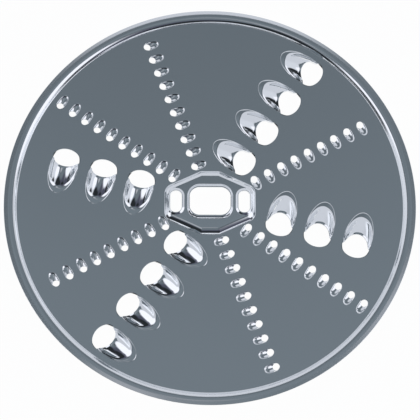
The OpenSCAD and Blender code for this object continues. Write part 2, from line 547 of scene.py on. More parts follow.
@dataclass(frozen=True)
class HoodedTooth:
    """A tooth pressed out of the sheet: a bent round bar sinks into the flat sheet.

    Its own frame has the flat outer face at height 0, x along the row and y from the mouth to
    the closed end. The outer face is the sheet joined to the bar with a hollow fillet, and the
    inner face the same form one thickness inside.

    Attributes:
        thickness: Thickness of the flat sheet.
        outer_r: Radius of the bar outside.
        inner_r: Radius of the bar inside.
        square: Power of the bar's section: 2 is round, more is flatter with steeper sides.
        arc_r: Radius of the arc along which the bar is bent.
        arc_y: Middle of that arc along the tooth.
        arc_z: Height of that middle.
        mouth_y: Middle of the mouth.
        mouth_x_r: Half the mouth's width along the row.
        mouth_y_r: Half the mouth's length across the row.
        notch: Share by which the mouth is narrower under the hood than in the flat sheet.
        outer_fillet: Radius of the hollow fillet outside.
        inner_fillet: Radius of the rolled edge inside.
        bevel_w: Plan width of the bevel round the hollow, on the inner face.
        bevel_slope: Depth of that bevel over its width.
        narrow_y: Where the bar begins to narrow towards the mouth's front.
        narrow: How fast it narrows, per millimetre.
        roll_w: Width behind the mouth over which the punch has rolled the sheet over.
        roll_drop: How far the sheet has gone down at the mouth.
        apron: The apron round it, if it has one.
        around: Points round the patch.
        outer_rings: Rings on the outer face.
        inner_rings: Rings on the inner face.
        edge: Profile of the cut edge.
    """

    thickness: float
    outer_r: float
    inner_r: float
    square: float
    arc_r: float
    arc_y: float
    arc_z: float
    mouth_y: float
    mouth_x_r: float
    mouth_y_r: float
    notch: float
    outer_fillet: float
    inner_fillet: float
    bevel_w: float
    bevel_slope: float
    narrow_y: float
    narrow: float
    roll_w: float
    roll_drop: float
    apron: PressedApron | None
    around: int
    outer_rings: int
    inner_rings: int
    edge: PunchedEdge

    # Share of the half turn over which the notch comes in, and the most that the roll counts
    NOTCH_BLEND = 0.3
    MOST_ROLL = 1.5
    # Radius between the bevel and the flat face, and the width that it takes beside the bevel
    BEVEL_FILLET = 0.08
    BEVEL_BORDER = 0.06
    # Flat sheet left round the tooth, and round its mouth in radii of the broken corner
    CLEAR = 0.03
    MOUTH_CLEAR = 2.5
    # Rays for an outline, steps along a line, and how much length a turn of one radian counts
    # for, in outside radii
    RAYS = 720
    LINE_STEPS = 220
    TURN_WEIGHT = 0.35
    # How often the search for the border along a ray, and for a face over a point, is halved
    RAY_HALVINGS = 40
    FACE_HALVINGS = 34
    # How far below the flat sheet and above the whole tooth a face is looked for
    BELOW = 0.02
    ABOVE = 0.5

    def mouth_measure(self, x: Array, y: Array) -> Array:
        """The mouth's own measure of a place: 0 on its oval, negative inside."""
        return np.hypot(x / self.mouth_x_r, (y - self.mouth_y) / self.mouth_y_r) - 1

    def bar(self, x: Array, y: Array, z: Array, radius: float) -> Array:
        """Signed distance to the bent bar.

        Formula: the two offsets from the arc that is its axis, each raised to the power of the
        section, are added up and brought back to a length, less the radius; in front of
        narrow_y the radius shrinks with the square of the distance, and beside the mouth with
        the square of what is left of the rolled width.
        """
        off_arc = np.hypot(y - self.arc_y, z - self.arc_z) - self.arc_r
        shrink = self.narrow * np.maximum(self.narrow_y - y, 0.0) ** 2
        left = 1 - self.mouth_measure(x, y) * self.mouth_y_r / self.roll_w
        rolled = self.roll_drop * np.clip(left, 0.0, self.MOST_ROLL) ** 2
        section = (np.abs(x) ** self.square + np.abs(off_arc) ** self.square) ** (1 / self.square)
        return section - radius + shrink + rolled

    def outer_form(self, x: Array, y: Array, z: Array) -> Array:
        """Signed distance to what lies under the outer face."""
        sheet = z - self.apron.height(x, y) if self.apron else z
        return rounded_union(sheet, self.bar(x, y, z, self.outer_r), self.outer_fillet)

    def inner_form(self, x: Array, y: Array, z: Array) -> Array:
        """Signed distance to the room under the inner face.

        Formula: the flat face, sunk like a cone over the bevel's width round the bar, and joined
        to the bar with the inner fillet.
        """
        flat = z + self.thickness
        if self.bevel_w:
            level = np.full_like(x, -self.thickness)
            away = np.maximum(self.bar(x, y, level, self.inner_r), 0.0)
            sunk = flat - self.bevel_slope * (self.bevel_w - away)
            cone = sunk / math.hypot(1.0, self.bevel_slope)
            flat = rounded_union(flat, cone, self.BEVEL_FILLET)
        return rounded_union(flat, self.bar(x, y, z, self.inner_r), self.inner_fillet)

    def mouth_loop(self, grow: float) -> Array:
        """Notched oval round the mouth, grown by a distance, anticlockwise from its front."""
        turn = full_turn(self.RAYS) - QUARTER
        behind = np.clip(np.sin(turn) / self.NOTCH_BLEND, 0.0, 1.0)
        narrowed = 1 - self.notch * smoothstep(behind)
        oval = np.stack([
            (self.mouth_x_r + grow) * narrowed * np.cos(turn),
            self.mouth_y + (self.mouth_y_r + grow) * np.sin(turn),
        ], axis=-1)
        return even_loop(oval, self.around)

    def border_loop(self) -> Array:
        """Outline at which both faces have become flat.

        Formula: from a point inside, each ray is followed until it is clear of both fillets
        and of the mouth; the ends are then spread evenly by length.

        Returns:
            Anticlockwise points from the front, (around, 2).
        """
        end_y = self.arc_y + math.sqrt((self.arc_r + self.outer_r) ** 2 - self.arc_z**2)
        middle_y = (self.mouth_y + end_y) / 2
        turn = full_turn(self.RAYS) - QUARTER
        inner_clear = max(self.inner_fillet, self.bevel_w + self.BEVEL_BORDER)

        def still_formed(distance: Array) -> Array:
            """Says for each ray whether its point lies on a formed surface."""
            x, y = distance * np.cos(turn), middle_y + distance * np.sin(turn)
            level, under = np.zeros_like(x), np.full_like(x, -self.thickness)
            outer = self.bar(x, y, level, self.outer_r) - self.outer_fillet
            if self.apron:
                outer = np.minimum(outer, -self.apron.inside(x, y))
            inner = self.bar(x, y, under, self.inner_r) - inner_clear
            mouth = self.mouth_measure(x, y) * min(self.mouth_x_r, self.mouth_y_r)
            mouth = mouth - self.MOUTH_CLEAR * self.edge.radius
            return np.minimum(np.minimum(outer, inner), mouth) <= self.CLEAR

        start = np.zeros_like(turn)
        _, far = close_in(start, start + 2.0 * end_y, still_formed, self.RAY_HALVINGS)
        outline = np.stack([far * np.cos(turn), middle_y + far * np.sin(turn)], axis=-1)
        return even_loop(outline, self.around)

    def face(self, form: Solid, rings: int, flat: float) -> tuple[Array, Array]:
        """One face of the tooth as a grid from the flat border to the mouth.

        Formula: straight lines in plan join the border to the mouth. Each is followed finely,
        and its rings are then spaced by length plus turning, so that bends get more of them.

        Args:
            form: Signed distance whose upper face it is.
            rings: Number of rings.
            flat: Height of the flat sheet on this face.

        Returns:
            Points and normals, each (rings, around, 3), from the border inwards.
        """
        border, mouth = self.border_loop(), self.mouth_loop(self.edge.radius)
        above = self.arc_z + self.arc_r + self.outer_r + self.ABOVE

        def lift(share: Array) -> tuple[Array, Array]:
            """Points and normals at a share of the way from border to mouth, (around, n)."""
            plan = border[:, None] + share[..., None] * (mouth - border)[:, None]
            x, y = plan[..., 0], plan[..., 1]
            low, high = np.full(x.shape, flat - self.BELOW), np.full(x.shape, above)
            low, high = close_in(low, high, lambda z: form(x, y, z) < 0, self.FACE_HALVINGS)
            points = np.stack([x, y, (low + high) / 2], axis=-1)
            return points, gradient_normal(form, points)

        line = np.linspace(0.0, 1.0, self.LINE_STEPS)
        points, normals = lift(np.broadcast_to(line, (self.around, line.size)))
        steps = np.linalg.norm(np.diff(points, axis=1), axis=-1)
        turning = np.linalg.norm(np.diff(normals, axis=1), axis=-1)
        metric = steps + self.TURN_WEIGHT * self.outer_r * turning
        points, normals = lift(along_rows(metric, np.linspace(0.0, 1.0, rings)))
        points[:, 0, 2] = flat
        normals[:, 0] = UP
        return points.swapaxes(0, 1), normals.swapaxes(0, 1)

    def patch(self) -> tuple[Array, Array, Array]:
        """The whole tooth: outer face, cut edge and inner face as one grid.

        Returns:
            Points and normals, each (rings, around, 3), and the polish of each ring. The
            first ring is the outer border, and the last the inner border.
        """
        outer, outer_n = self.face(self.outer_form, self.outer_rings, 0.0)
        inner, inner_n = self.face(self.inner_form, self.inner_rings, -self.thickness)
        inner_n = -inner_n
        into = loop_inward(self.mouth_loop(0.0))
        high_edge, high_n = self.edge.upright(outer[-1], outer_n[-1], into, -1.0)
        low_edge, low_n = self.edge.upright(inner[-1], inner_n[-1], into, 1.0)
        points = np.concatenate([outer, high_edge, low_edge[::-1], inner[::-1]])
        normals = np.concatenate([outer_n, high_n, low_n[::-1], inner_n[::-1]])
        polish = np.ones(len(points))
        polish[[0, -1]] = 0.0
        return points, normals, polish


@dataclass(frozen=True)
class ToothRow:
    """A straight row of teeth across the disc.

    Attributes:
        direction: Direction of the row from the spin axis, in degrees.
        radius: Distance of its first tooth from the spin axis.
        step: Distance from one tooth to the next, negative inwards.
        count: Number of teeth.
    """

    direction: float
    radius: float
    step: float
    count: int

    def with_opposite(self) -> tuple[ToothRow, ToothRow]:
        """This row and the same one half a turn on."""
        return self, ToothRow(self.direction + 180.0, self.radius, self.step, self.count)

    def radii(self) -> list[float]:
        """Distance of each tooth from the spin axis."""
        return [self.radius + i * self.step for i in range(self.count)]


class Side(Enum):
    """Face of the disc on which a tooth stands."""

    TOP = "top"
    UNDER = "under"


@dataclass(frozen=True)
class ToothSet:
    """One kind of tooth and the rows in which it stands.

    Attributes:
        tooth: The tooth.
        rows: Its rows.
        side: Face on which it stands.
    """

    tooth: HoodedTooth
    rows: tuple[ToothRow, ...]
    side: Side

    def press(self, mesh: SheetMesh) -> list[SheetLoop]:
        """Adds every tooth of the set to the sheet.

        A tooth on the underside is the same form, turned over about the row's line.

        Args:
            mesh: The sheet.

        Returns:
            The teeth's borders.
        """
        points, normals, polish = self.tooth.patch()
        if self.side is Side.UNDER:
            over = np.array([1.0, -1.0, -1.0])
            points, normals = points * over - self.tooth.thickness * UP, normals * over
        loops = []
        for row in self.rows:
            c, s = math.cos(math.radians(row.direction)), math.sin(math.radians(row.direction))
            spin = np.array([[c, s, 0.0], [-s, c, 0.0], [0.0, 0.0, 1.0]])
            for radius in row.radii():
                placed = points @ spin + [radius * c, radius * s, 0.0]
                rings = mesh.add_points(placed, normals @ spin, polish[:, None])
                mesh.add_rings(rings)
                loop = SheetLoop(placed[0, :, :2], rings[0], rings[-1])
                if self.side is Side.UNDER:
                    loop = SheetLoop(loop.outline[::-1], loop.under[::-1], loop.top[::-1])
                loops.append(loop)
        return loops


@dataclass(frozen=True)
class SteppedRim:
    """The rim: a step up to a flat flange that droops a little towards its edge.

    Attributes:
        thickness: Thickness of the sheet.
        field_r: Radius at which the step's foot corner lies.
        outer_r: Outside radius of the disc.
        step: The step from the field up to the flange.
        droop: Angle by which the flange has turned down at its edge, in degrees.
        droop_w: Width of the drooping border.
        droop_bend: Part of that width over which it turns down.
        around: Points round the disc.
        edge: Profile of the cut edge.
    """

    thickness: float = 0.6
    field_r: float = 57.86
    outer_r: float = 61.5
    step: BentRamp = BentRamp(run=0.8, rise=1.2, foot_r=0.35, crest_r=2.0)
    droop: float = 12.0
    droop_w: float = 1.65
    droop_bend: float = 0.7
    around: int = 252
    edge: PunchedEdge = PunchedEdge(0.12, 3)

    # Parts into which the bends at the foot, crest and droop and the border are cut
    FOOT_PARTS = 8
    CREST_PARTS = 14
    DROOP_PARTS = 4
    BORDER_PARTS = 2

    def middle_line(self) -> tuple[Array, Array]:
        """The middle of the sheet from the flat field out to the edge.

        Formula: a heading that turns steadily through each bend and holds between them,
        added up into radius and height.

        Returns:
            Points as (radius, height) and the heading at each, in radians.
        """
        angle, droop, half = self.step.angle(), math.radians(self.droop), self.thickness / 2
        low_r, high_r = self.step.foot_r + half, self.step.crest_r - half
        at_foot, at_crest = low_r * math.tan(angle / 2), high_r * math.tan(angle / 2)
        slope = math.hypot(self.step.rise, self.step.run) - (low_r + high_r) * math.tan(angle / 2)
        edge_r = self.outer_r - self.edge.radius - half * math.sin(droop)
        level = edge_r - self.droop_w - (self.field_r + self.step.run + at_crest)
        # Length, number of parts and turn of each stretch
        stretches = [
            (angle * low_r, self.FOOT_PARTS, angle),
            (slope, 1, 0.0),
            (angle * high_r, self.CREST_PARTS, -angle),
            (level, 1, 0.0),
            (self.droop_bend, self.DROOP_PARTS, -droop),
            (self.droop_w - self.droop_bend, self.BORDER_PARTS, 0.0),
        ]
        lengths = np.concatenate([np.full(n, length / n) for length, n, _ in stretches])
        turns = np.concatenate([np.full(n, turn / n) for _, n, turn in stretches])
        heading = np.concatenate([[0.0], np.cumsum(turns)])
        chord = lengths * np.sinc(turns / (2 * np.pi))
        mean = (heading[:-1] + heading[1:]) / 2
        steps = chord[:, None] * np.stack([np.cos(mean), np.sin(mean)], axis=-1)
        start = np.array([self.field_r - at_foot, -half])
        return np.vstack([start, start + np.cumsum(steps, axis=0)]), heading

    def revolve(self, profile: Array) -> Array:
        """Turns (radius, height) pairs about +Z, into (pairs, around, xyz)."""
        turn = full_turn(self.around)
        radius, height = profile[:, :1], profile[:, 1:]
        level = np.broadcast_to(height, (len(profile), self.around))
        return np.stack([radius * np.cos(turn), radius * np.sin(turn), level], axis=-1)

    def press(self, mesh: SheetMesh) -> SheetLoop:
        """Adds the rim: its profile, over the top, round the edge and back, is turned about +Z.

        Args:
            mesh: The sheet.

        Returns:
            The rim's inner border.
        """
        line, heading = self.middle_line()
        normal = np.stack([-np.sin(heading), np.cos(heading)], axis=-1)
        ahead = np.array([math.cos(heading[-1]), math.sin(heading[-1])])
        half, r = self.thickness / 2, self.edge.radius
        turn = np.linspace(0.0, QUARTER, self.edge.steps + 1)[1:, None]
        over_n = np.sin(turn) * ahead + np.cos(turn) * normal[-1]
        under_n = np.sin(turn) * ahead - np.cos(turn) * normal[-1]
        over = line[-1] + (half - r) * normal[-1] + r * over_n
        under = line[-1] - (half - r) * normal[-1] + r * under_n
        back = (line - half * normal)[::-1]
        profile = np.concatenate([line + half * normal, over, under[::-1], back])
        facing = np.concatenate([normal, over_n, under_n[::-1], -normal[::-1]])
        bend = np.abs(np.sin(heading))
        polish = np.concatenate([bend, np.ones(2 * len(turn)), bend[::-1]])
        points = self.revolve(profile)
        rings = mesh.add_points(points, self.revolve(facing), polish[:, None])
        mesh.add_rings(rings[::-1])
        return SheetLoop(points[0, :, :2], rings[0], rings[-1])


@dataclass(frozen=True)
class DriveBoss:
    """The raised boss with its collared drive hole and the two lipped slots beside it.

    Attributes:
        thickness: Thickness of the sheet.
        length: Length of the boss along x.
        width: Width between its two flats.
        flat: Length of each flat.
        slant: Direction of the slanting sides' normals, in degrees.
        corner_r: Radius of the corners of the short sides.
        slope: The boss's slope up from the field.
        dome: How much higher the middle of the boss stands than its crest.
        collar: Outline of the collar's foot.
        hole: Outline of the drive hole.
        collar_start: How far in from its foot outline the collar begins to rise.
        collar_wall: The collar's rise over the boss.
        slot_x: Distance of each slot from the middle.
        slot: Outline of a slot.
        lip_w: Width of the border round a slot from which its lip rises.
        lip: The lip's rise over the boss.
        edge: Profile of the cut edges.
    """

    thickness: float = 0.6
    length: float = 27.08
    width: float = 19.68
    flat: float = 5.6
    slant: float = 65.0
    corner_r: float = 3.0
    slope: BentRamp = BentRamp(run=0.8, rise=1.2, foot_r=0.25, crest_r=2.42)
    dome: float = 0.3
    collar: RoundedBox = RoundedBox(14.0, 11.5, 4.0)
    hole: RoundedBox = RoundedBox(12.2, 8.6, 3.0)
    collar_start: float = 0.38
    collar_wall: BentRamp = BentRamp(run=0.45, rise=0.67, foot_r=0.35, crest_r=0.9)
    slot_x: float = 10.2
    slot: RoundedBox = RoundedBox(3.6, 6.8, 1.7)
    lip_w: float = 0.8
    lip: BentRamp = BentRamp(run=0.7, rise=0.4, foot_r=0.25, crest_r=0.65)
    edge: PunchedEdge = PunchedEdge(0.1, 3)

    # Edges that make each round corner, and points round the boss, the hole and a slot
    CORNER_EDGES = 17
    SIDE_POINTS = 168
    HOLE_POINTS = 112
    SLOT_POINTS = 56
    # Flat sheet left round the boss, and the step used for the differences
    BORDER = 0.17
    STEP = 0.01
    # Outside the collar by more than REACH the way to the hole isn't shared out, and the
    # collar counts as at least LEAST wide
    REACH = 0.5
    LEAST = 0.2
    # Polish for each unit that a normal leans over
    POLISH = 3.0
    # Rings of free points: millimetres in from the boss's outline, shares of the way from the
    # collar's foot to the hole, and millimetres out from a slot; closest where the sheet bends
    SLOPE_RINGS = (-0.12, -0.06, 0.0, 0.05, 0.1, 0.17, 0.28, 0.42,
                   0.6, 0.8, 1.0, 1.22, 1.45, 1.7, 1.95, 2.2)
    COLLAR_RINGS = (-0.08, 0.04, 0.11, 0.17, 0.23, 0.29, 0.36, 0.44, 0.52, 0.6, 0.69, 0.79, 0.9)
    LIP_RINGS = (0.2, 0.3, 0.42, 0.55, 0.68, 0.78, 0.88, 1.0)

    def sides(self) -> tuple[Array, Array]:
        """Outline of the boss as straight edges; a round corner is a run of short ones.

        Formula: one quarter is worked out, and the others mirror it.

        Returns:
            Directions of the edges' normals, in radians and rising, and their distances.
        """
        slant = math.radians(self.slant)
        reach = self.flat / 2 * math.cos(slant) + self.width / 2 * math.sin(slant)
        corner_x = self.length / 2 - self.corner_r
        corner_y = (reach - self.corner_r - corner_x * math.cos(slant)) / math.sin(slant)
        turn = np.linspace(0.0, slant, self.CORNER_EDGES)
        quarter = np.append(turn, QUARTER)
        round_away = corner_x * np.cos(turn) + corner_y * np.sin(turn) + self.corner_r
        away = np.append(round_away, self.width / 2)
        angles = np.concatenate([
            quarter, np.pi - quarter[-2::-1], np.pi + quarter[1:], 2 * np.pi - quarter[-2:0:-1]
        ])
        return angles, np.concatenate([away, away[-2::-1], away[1:], away[-2:0:-1]])

    def side_distance(self, x: Array, y: Array) -> Array:
        """Signed distance to the outline: the farthest of the edges' own distances."""
        angles, aways = self.sides()
        each = x[..., None] * np.cos(angles) + y[..., None] * np.sin(angles) - aways
        return each.max(axis=-1)

    def side_loop(self, grow: float) -> Array:
        """Anticlockwise points round the outline, grown by a distance, spread evenly.

        Formula: the corners are where neighbouring edges cross.
        """
        angles, aways = self.sides()
        a, b = aways + grow, np.roll(aways + grow, -1)
        s0, c0 = np.sin(angles), np.cos(angles)
        s1, c1 = np.roll(s0, -1), np.roll(c0, -1)
        cross = c0 * s1 - s0 * c1
        corners = np.stack([(a * s1 - b * s0) / cross, (b * c0 - a * c1) / cross], axis=-1)
        return even_loop(corners, self.SIDE_POINTS)

    def height(self, x: Array, y: Array) -> Array:
        """Height of the top face.

        Formula: the boss's bent ramp over the distance in from its outline, domed like a
        shallow bowl, plus the collar's over its share of the way from foot to hole, plus the
        lips' over the distance in from theirs.
        """
        bowl = np.maximum(1 - (2 * x / self.length) ** 2 - (2 * y / self.width) ** 2, 0.0)
        boss = self.slope.height(-self.side_distance(x, y))
        boss = boss * (1 + self.dome / self.slope.rise * bowl)
        foot = -self.collar.distance(x, y)
        to_hole = np.maximum(self.hole.distance(x, y), 0.0)
        band = (self.collar.width - self.hole.width) / 2
        shared = band * foot / np.maximum(foot + to_hole, self.LEAST)
        inside = np.where(foot > -self.REACH, shared, foot)
        collar = self.collar_wall.height(inside - self.collar_start)
        lip_in = -self.slot.grown(self.lip_w).distance(np.abs(x) - self.slot_x, y)
        return boss + collar + self.lip.height(lip_in)

    def normal(self, x: Array, y: Array) -> Array:
        """Normals of the top face from central differences of its height."""
        step = self.STEP
        dx = (self.height(x + step, y) - self.height(x - step, y)) / (2 * step)
        dy = (self.height(x, y + step) - self.height(x, y - step)) / (2 * step)
        return unit(np.stack([-dx, -dy, np.ones_like(dx)], axis=-1))

    def slot_loops(self, grow: float) -> list[Array]:
        """Points round the right and the left slot, grown by a distance."""
        loop = self.slot.grown(grow).loop(self.SLOT_POINTS)
        return [loop + [self.slot_x, 0.0], loop - [self.slot_x, 0.0]]

    def loose_points(self, border: Array, holes: Sequence[Array]) -> Array:
        """Rings of free points that follow the slope, the collar and the lips.

        Args:
            border: The boss's border, which they stay inside.
            holes: Borders of the holes, which they stay outside.

        Returns:
            The points, (n, 2).
        """
        rings = [self.side_loop(-inset) for inset in self.SLOPE_RINGS]
        for share in self.COLLAR_RINGS:
            rings.append(self.collar.towards(self.hole, share).loop(self.HOLE_POINTS))
        for grow in self.LIP_RINGS:
            rings += self.slot_loops(grow)[::-1]
        points = np.vstack(rings)
        keep = inside_loop(points, border)
        for hole in holes:
            keep &= ~inside_loop(points, hole)
        return points[keep]

    def press(self, mesh: SheetMesh) -> SheetLoop:
        """Adds the boss: its top face, the underside one thickness below, and the cut edges.

        Args:
            mesh: The sheet.

        Returns:
            The boss's border.
        """
        border, r = self.side_loop(self.BORDER), self.edge.radius
        holes = [self.hole.grown(r).loop(self.HOLE_POINTS), *self.slot_loops(r)]
        loose = self.loose_points(border, holes)
        plan = np.vstack([border, *holes, loose])
        x, y = plan.T
        normals = self.normal(x, y)
        normals[:len(border)] = UP
        top = np.stack([x, y, self.height(x, y)], axis=-1)
        polish = np.clip(self.POLISH * np.hypot(normals[:, 0], normals[:, 1]), 0.0, 1.0)
        upper = mesh.add_points(top, normals, polish)
        lower = mesh.add_points(top - self.thickness * normals, -normals, polish)
        mesh.add_both_faces(upper, lower, fill_between(border, holes, loose))
        start = len(border)
        for hole in holes:
            part = slice(start, start + len(hole))
            start += len(hole)
            inward = loop_inward(hole)
            points, facing = self.edge.square(top[part], normals[part], inward, self.thickness)
            rings = mesh.add_points(points, facing, 1.0)
            mesh.add_rings(np.vstack([upper[part], rings, lower[part]]))
        return SheetLoop(border, upper[:len(border)], lower[:len(border)])


@dataclass(frozen=True)
class FlatField:
    """The flat sheet between the rim and everything that is pressed into it."""

    def lay(self, mesh: SheetMesh, rim: SheetLoop, pressed: Sequence[SheetLoop]) -> None:
        """Adds both faces of the field; they are level, and share every border point.

        Args:
            mesh: The sheet.
            rim: The rim's inner border.
            pressed: Borders of the teeth and of the boss.
        """
        triangles = fill_between(rim.outline, [loop.outline for loop in pressed], np.zeros((0, 2)))
        top = np.concatenate([rim.top, *[loop.top for loop in pressed]])
        under = np.concatenate([rim.under, *[loop.under for loop in pressed]])
        mesh.add_both_faces(top, under, triangles)


def hex_colour(code: str) -> tuple[float, float, float, float]:
    """Turns an sRGB hex value into linear light with full opacity.

    Args:
        code: Six hex digits after a hash.

    Returns:
        Linear red, green, blue and alpha.
    """
    parts = [int(code[i:i + 2], 16) / 255 for i in (1, 3, 5)]
    linear = [p / 12.92 if p <= 0.04045 else ((p + 0.055) / 1.055) ** 2.4 for p in parts]
    return linear[0], linear[1], linear[2], 1.0


def empty_tree(owner: bpy.types.Material | bpy.types.World) -> bpy.types.NodeTree:
    """Gives a material or a world an empty node tree."""
    owner.use_nodes = True
    owner.node_tree.nodes.clear()
    return owner.node_tree


def add_node(tree: bpy.types.NodeTree, kind: str, settings: dict | None = None,
             links: dict | None = None) -> bpy.types.Node:
    """Adds a node with its settings and links.

    Args:
        tree: Node tree.
        kind: Blender's name of the node's type.
        settings: Properties by name, and socket values by the socket's name or number.
        links: Sockets to link from, by the input's name or number.

    Returns:
        The new node.
    """
    node = tree.nodes.new(kind)
    for key, value in (settings or {}).items():
        if isinstance(key, int) or key in node.inputs:
            node.inputs[key].default_value = value
        else:
            setattr(node, key, value)
    for key, source in (links or {}).items():
        tree.links.new(source, node.inputs[key])
    return node


@dataclass(frozen=True)
class RolledStainless:
    """Rolled stainless sheet with a fine satin face, burnished bright where tools formed it.

    The flat field keeps the mill's even satin, which mirrors softly. The bends and the teeth
    were wiped by the press tools, so they mirror sharply.

    Attributes:
        base: Colour of the sheet as it mirrors.
        cool: Slightly cooler colour in the broad drift of tone.
        satin: Roughness of the rolled field.
        satin_range: How far the grain takes that roughness up and down.
        bright: Roughness of the burnished forms.
        drift_mm: Size of the broad drift of tone.
        grain_mm: Width of the rolling grain; the real grain is about 0.02 mm wide, and it is
            drawn ten times as coarse so that it shows at all.
        grain_stretch: Share to which the grain is squeezed along x, so that it runs that way.
        grain_depth_mm: Depth of the grain.
        grain_strength: How much of that depth the light sees.
    """

    base: str = "#EFF1F3"
    cool: str = "#EBEEF1"
    satin: float = 0.16
    satin_range: float = 0.03
    bright: float = 0.07
    drift_mm: float = 38.0
    grain_mm: float = 0.2
    grain_stretch: float = 0.03
    grain_depth_mm: float = 0.02
    grain_strength: float = 0.012

    def make(self) -> bpy.types.Material:
        """Builds the material.

        Returns:
            The material.
        """
        material = bpy.data.materials.new("rolled_stainless_sheet")
        tree = empty_tree(material)
        place = add_node(tree, "ShaderNodeTexCoord").outputs["Object"]
        polish = add_node(tree, "ShaderNodeAttribute", {"attribute_name": "polish"})
        drift = add_node(tree, "ShaderNodeTexNoise",
                         {"Scale": 1 / (self.drift_mm * MM), "Detail": 2.0}, {"Vector": place})
        squeezed = add_node(tree, "ShaderNodeMapping",
                            {"Scale": (self.grain_stretch, 1.0, 1.0)}, {"Vector": place})
        grain = add_node(tree, "ShaderNodeTexNoise",
                         {"Scale": 1 / (self.grain_mm * MM), "Detail": 3.0},
                         {"Vector": squeezed.outputs["Vector"]})
        colours = {COLOUR_A: hex_colour(self.base), COLOUR_B: hex_colour(self.cool)}
        tone = add_node(tree, "ShaderNodeMix", {"data_type": "RGBA", **colours},
                        {FACTOR: drift.outputs["Fac"]})
        low, high = self.satin - self.satin_range, self.satin + self.satin_range
        grained = add_node(tree, "ShaderNodeMapRange", {"To Min": low, "To Max": high},
                           {"Value": grain.outputs["Fac"]})
        rough = add_node(tree, "ShaderNodeMix", {"data_type": "FLOAT", FLOAT_B: self.bright},
                         {FACTOR: polish.outputs["Fac"], FLOAT_A: grained.outputs["Result"]})
        depth = {"Strength": self.grain_strength, "Distance": self.grain_depth_mm * MM}
        bump = add_node(tree, "ShaderNodeBump", depth, {"Height": grain.outputs["Fac"]})
        shader = add_node(tree, "ShaderNodeBsdfPrincipled", {"Metallic": 1.0}, {
            "Base Color": tone.outputs[COLOUR_OUT],
            "Roughness": rough.outputs[0],
            "Normal": bump.outputs["Normal"],
        })
        add_node(tree, "ShaderNodeOutputMaterial", {}, {"Surface": shader.outputs["BSDF"]})
        return material


@dataclass(frozen=True)
class ShreddingDisc:
    """The whole disc: teeth, boss, rim and field, joined into one sheet.

    Attributes:
        coarse: Coarse hooded teeth on the top face.
        fine: Fine teeth under the disc.
        boss: Drive boss.
        rim: Rim.
        finish: Finish of the sheet.
    """

    coarse: ToothSet
    fine: ToothSet
    boss: DriveBoss
    rim: SteppedRim
    finish: RolledStainless

    def make(self) -> bpy.types.Object:
        """Builds the disc and gives it its finish.

        Returns:
            The finished piece.
        """
        mesh = SheetMesh()
        rim = self.rim.press(mesh)
        pressed = self.coarse.press(mesh) + self.fine.press(mesh) + [self.boss.press(mesh)]
        FlatField().lay(mesh, rim, pressed)
        piece = mesh.build("stamped_sheet_disc")
        piece.data.materials.append(self.finish.make())
        return piece


def coarse_teeth() -> ToothSet:
    """Coarse hoods: four in each long row and three in each short one."""
    tooth = HoodedTooth(
        thickness=0.6, outer_r=4.0, inner_r=3.4, square=2.0, arc_r=12.95, arc_y=-1.87,
        arc_z=-13.39, mouth_y=-0.92, mouth_x_r=4.15, mouth_y_r=3.15, notch=0.14,
        outer_fillet=0.35, inner_fillet=0.8, bevel_w=0.0, bevel_slope=0.0,
        narrow_y=-0.9, narrow=0.35, roll_w=0.8, roll_drop=0.17,
        apron=PressedApron(middle_y=2.0, half_x=4.25, half_y=8.2, half_front=5.0, slope=0.11,
                           mark_w=0.26, mark_rise=0.06, side_rise=0.24),
        around=66, outer_rings=27, inner_rings=9, edge=PunchedEdge(0.08, 3),
    )
    pitch = 11.8
    long_row = ToothRow(direction=54.2, radius=16.1, step=pitch, count=4)
    short_row = ToothRow(direction=-16.3, radius=21.65, step=pitch, count=3)
    return ToothSet(tooth, long_row.with_opposite() + short_row.with_opposite(), Side.TOP)


def fine_teeth() -> ToothSet:
    """Fine teeth: six rows, turned over so that they cut on the underside."""
    tooth = HoodedTooth(
        thickness=0.6, outer_r=1.42, inner_r=1.0, square=2.2, arc_r=5.17, arc_y=-0.14,
        arc_z=-5.97, mouth_y=-0.28, mouth_x_r=1.0, mouth_y_r=1.0, notch=0.0,
        outer_fillet=0.08, inner_fillet=0.2, bevel_w=0.27, bevel_slope=1.25,
        narrow_y=0.0, narrow=0.6, roll_w=0.3, roll_drop=0.0, apron=None,
        around=24, outer_rings=5, inner_rings=12, edge=PunchedEdge(0.07, 2),
    )
    pitch = 4.57
    cross_row = ToothRow(direction=110.84, radius=53.4, step=-pitch, count=10)
    side_row = ToothRow(direction=145.71, radius=54.77, step=-pitch, count=10)
    swept_row = ToothRow(direction=208.51, radius=51.75, step=-pitch, count=9)
    rows = cross_row.with_opposite() + side_row.with_opposite() + swept_row.with_opposite()
    return ToothSet(tooth, rows, Side.UNDER)


class Tint(Enum):
    """Colours of the light in the studio tent, as sRGB."""

    PALE = "#F2F6FF"
    COOL = "#DFF1FF"
    DEEP = "#D6DCFF"
    WHITE = "#F6F7FF"


@dataclass(frozen=True)
class SoftPanel:
    """A broad soft patch of light or shade on the wall of the studio tent.

    Attributes:
        azimuth: Its direction round the disc from +X, in degrees.
        polar: Its angle from straight up, in degrees.
        reach: Half its width, in degrees.
        blur: Width of its soft border, in degrees.
        light: Its light, where 1 is a white card at a plain level.
        tint: Its colour.
    """

    azimuth: float
    polar: float
    reach: float
    blur: float
    light: float
    tint: Tint

    def direction(self) -> tuple[float, float, float]:
        """Unit vector towards the middle of the panel."""
        a, p = math.radians(self.azimuth), math.radians(self.polar)
        return math.sin(p) * math.cos(a), math.sin(p) * math.sin(a), math.cos(p)

    def borders(self) -> dict[str, float]:
        """Cosines of the angles at which its soft border begins and ends."""
        inner = math.radians(max(self.reach - self.blur / 2, 0.0))
        outer = math.radians(self.reach + self.blur / 2)
        return {"From Min": math.cos(outer), "From Max": math.cos(inner)}

    def colour(self) -> tuple[float, float, float, float]:
        """Its light in linear red, green and blue, with full opacity."""
        red, green, blue, _ = hex_colour(self.tint.value)
        return red * self.light, green * self.light, blue * self.light, 1.0


